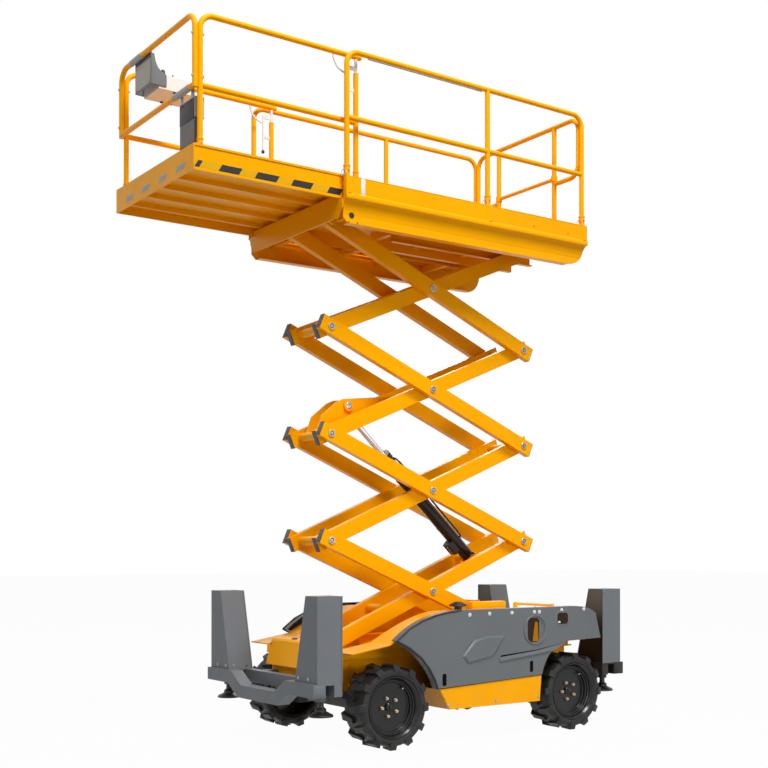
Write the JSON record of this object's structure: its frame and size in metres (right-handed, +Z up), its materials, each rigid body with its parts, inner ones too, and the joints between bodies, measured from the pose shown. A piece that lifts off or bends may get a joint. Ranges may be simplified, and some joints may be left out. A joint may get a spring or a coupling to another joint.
{
  "type": "scissor lift",
  "caption": "Self-propelled rough-terrain scissor lift: stacked crossed arms raise a railed platform with a roll-out deck over a wheeled chassis with levelling jacks.",
  "frame": {"origin": "on the ground, at the middle of the machine's bounding box", "axes": "-X towards the roll-out deck and the steered wheels, +Y towards the far side, +Z up"},
  "size_m": [4.158, 1.8, 5.4197],
  "materials": {
    "yellow_paint": "satin",
    "grey_paint": "satin",
    "grey_cover": "satin",
    "engine": "matte",
    "dark_steel": "satin",
    "black_paint": "gloss",
    "black_rim": "gloss",
    "black_plastic": "matte",
    "chromed_rod": "polished",
    "pale_plastic": "satin",
    "grey_plastic": "matte",
    "tyre": "matte"
  },
  "bodies": {
    "chassis": {"chassis_frame": "yellow_paint", "front_hood": "yellow_paint", "pod_housings": "yellow_paint", "skirts": "yellow_paint", "engine_block": "engine", "axles": "dark_steel", "jack_beams": "grey_paint", "jack_columns": "grey_paint", "intake_cap": "black_plastic"},
    "cover_near": {"cover_near": "grey_cover"},
    "cover_far": {"cover_far": "grey_cover"},
    "knuckle_near": {"knuckle_near": "dark_steel"},
    "knuckle_far": {"knuckle_far": "dark_steel"},
    "wheel_front_near": {"tyre_front_near": "tyre", "rim_front_near": "black_rim"},
    "wheel_front_far": {"tyre_front_far": "tyre", "rim_front_far": "black_rim"},
    "wheel_rear_near": {"tyre_rear_near": "tyre", "rim_rear_near": "black_rim"},
    "wheel_rear_far": {"tyre_rear_far": "tyre", "rim_rear_far": "black_rim"},
    "foot_front_near": {"foot_front_near": "black_paint"},
    "foot_front_far": {"foot_front_far": "black_paint"},
    "foot_rear_near": {"foot_rear_near": "black_paint"},
    "foot_rear_far": {"foot_rear_far": "black_paint"},
    "inner_1": {"inner_arms_1": "yellow_paint"},
    "outer_1": {"outer_arms_1": "yellow_paint"},
    "inner_2": {"inner_arms_2": "yellow_paint"},
    "outer_2": {"outer_arms_2": "yellow_paint"},
    "inner_3": {"inner_arms_3": "yellow_paint"},
    "outer_3": {"outer_arms_3": "yellow_paint"},
    "inner_4": {"inner_arms_4": "yellow_paint"},
    "outer_4": {"outer_arms_4": "yellow_paint"},
    "lift_barrel": {"lift_barrel": "black_paint"},
    "lift_rod": {"lift_rod": "chromed_rod"},
    "platform": {"platform_frame": "yellow_paint", "platform_deck": "yellow_paint", "toe_boards": "yellow_paint", "guardrails": "yellow_paint"},
    "gate": {"gate": "yellow_paint"},
    "extension": {"extension_deck": "yellow_paint", "extension_rails": "yellow_paint", "control_box": "pale_plastic", "document_box": "grey_plastic", "lock_levers": "pale_plastic"}
  },
  "joints": [
    {"name": "lift", "type": "hinge", "parent": "chassis", "child": "inner_1", "pos_m": [-0.659, 0, 0.767], "axis": [0, -1, 0], "range_deg": [-18.65, 33.23]},
    {"name": "outer_1_turn", "type": "hinge", "parent": "inner_1", "child": "outer_1", "pos_m": [0.36864, 0, 1.19835], "axis": [0, -1, 0], "range_deg": [-66.51, 37.36]},
    {"name": "outer_2_turn", "type": "hinge", "parent": "inner_1", "child": "outer_2", "pos_m": [1.39628, 0, 1.6297], "axis": [0, -1, 0], "range_deg": [-66.51, 37.36]},
    {"name": "inner_2_turn", "type": "hinge", "parent": "outer_2", "child": "inner_2", "pos_m": [0.36864, 0, 2.06104], "axis": [0, -1, 0], "range_deg": [-37.36, 66.51]},
    {"name": "inner_3_turn", "type": "hinge", "parent": "outer_2", "child": "inner_3", "pos_m": [-0.659, 0, 2.49239], "axis": [0, -1, 0], "range_deg": [-37.36, 66.51]},
    {"name": "outer_3_turn", "type": "hinge", "parent": "inner_3", "child": "outer_3", "pos_m": [0.36864, 0, 2.92374], "axis": [0, -1, 0], "range_deg": [-66.51, 37.36]},
    {"name": "outer_4_turn", "type": "hinge", "parent": "inner_3", "child": "outer_4", "pos_m": [1.39628, 0, 3.35509], "axis": [0, -1, 0], "range_deg": [-66.51, 37.36]},
    {"name": "inner_4_turn", "type": "hinge", "parent": "outer_4", "child": "inner_4", "pos_m": [0.36864, 0, 3.78644], "axis": [0, -1, 0], "range_deg": [-37.36, 66.51]},
    {"name": "platform_level", "type": "hinge", "parent": "outer_4", "child": "platform", "pos_m": [-0.659, 0, 4.21778], "axis": [0, -1, 0], "range_deg": [-18.7, 33.28]},
    {"name": "barrel_turn", "type": "hinge", "parent": "inner_1", "child": "lift_barrel", "pos_m": [1.00375, 0, 1.48228], "axis": [0, -1, 0], "range_deg": [-75.48, 42.39]},
    {"name": "rod_stroke", "type": "slide", "parent": "lift_barrel", "child": "lift_rod", "axis": [-0.7326, 0, 0.6806], "range_m": [-0.40796, 0.72597]},
    {"name": "extension_slide", "type": "slide", "parent": "platform", "child": "extension", "axis": [1, 0, 0], "range_m": [0, 1.2]},
    {"name": "gate_lift", "type": "slide", "parent": "platform", "child": "gate", "axis": [0, 0, 1], "range_m": [0, 0.4]},
    {"name": "steer_near", "type": "hinge", "parent": "chassis", "child": "knuckle_near", "pos_m": [-0.4545, -0.556, 0.33], "axis": [0, 0, 1], "range_deg": [-28, 28]},
    {"name": "steer_far", "type": "hinge", "parent": "chassis", "child": "knuckle_far", "pos_m": [-0.4545, 0.556, 0.33], "axis": [0, 0, 1], "range_deg": [-28, 28]},
    {"name": "wheel_front_near_spin", "type": "hinge", "parent": "knuckle_near", "child": "wheel_front_near", "pos_m": [-0.4545, -0.755, 0.33], "axis": [0, 1, 0], "continuous": true},
    {"name": "wheel_front_far_spin", "type": "hinge", "parent": "knuckle_far", "child": "wheel_front_far", "pos_m": [-0.4545, 0.755, 0.33], "axis": [0, 1, 0], "continuous": true},
    {"name": "wheel_rear_near_spin", "type": "hinge", "parent": "chassis", "child": "wheel_rear_near", "pos_m": [1.4485, -0.755, 0.33], "axis": [0, 1, 0], "continuous": true},
    {"name": "wheel_rear_far_spin", "type": "hinge", "parent": "chassis", "child": "wheel_rear_far", "pos_m": [1.4485, 0.755, 0.33], "axis": [0, 1, 0], "continuous": true},
    {"name": "jack_front_near", "type": "slide", "parent": "chassis", "child": "foot_front_near", "axis": [0, 0, -1], "range_m": [0, 0.42]},
    {"name": "jack_front_far", "type": "slide", "parent": "chassis", "child": "foot_front_far", "axis": [0, 0, -1], "range_m": [0, 0.42]},
    {"name": "jack_rear_near", "type": "slide", "parent": "chassis", "child": "foot_rear_near", "axis": [0, 0, -1], "range_m": [0, 0.42]},
    {"name": "jack_rear_far", "type": "slide", "parent": "chassis", "child": "foot_rear_far", "axis": [0, 0, -1], "range_m": [0, 0.42]},
    {"name": "cover_near_open", "type": "hinge", "parent": "chassis", "child": "cover_near", "pos_m": [0.497, -0.782, 1.054], "axis": [-1, 0, 0], "range_deg": [0, 75]},
    {"name": "cover_far_open", "type": "hinge", "parent": "chassis", "child": "cover_far", "pos_m": [0.497, 0.782, 1.054], "axis": [1, 0, 0], "range_deg": [0, 75]}
  ],
  "couplings": [
    {"joint": "outer_1_turn", "follows": "lift", "ratio": -2},
    {"joint": "outer_2_turn", "follows": "lift", "ratio": -2},
    {"joint": "inner_2_turn", "follows": "lift", "ratio": 2},
    {"joint": "inner_3_turn", "follows": "lift", "ratio": 2},
    {"joint": "outer_3_turn", "follows": "lift", "ratio": -2},
    {"joint": "outer_4_turn", "follows": "lift", "ratio": -2},
    {"joint": "inner_4_turn", "follows": "lift", "ratio": 2},
    {"joint": "platform_level", "follows": "lift", "ratio": 1},
    {"joint": "barrel_turn", "follows": "lift", "ratio": -2.27},
    {"joint": "rod_stroke", "follows": "lift", "m_per_rad": 1.25},
    {"joint": "steer_far", "follows": "steer_near", "ratio": 1}
  ]
}
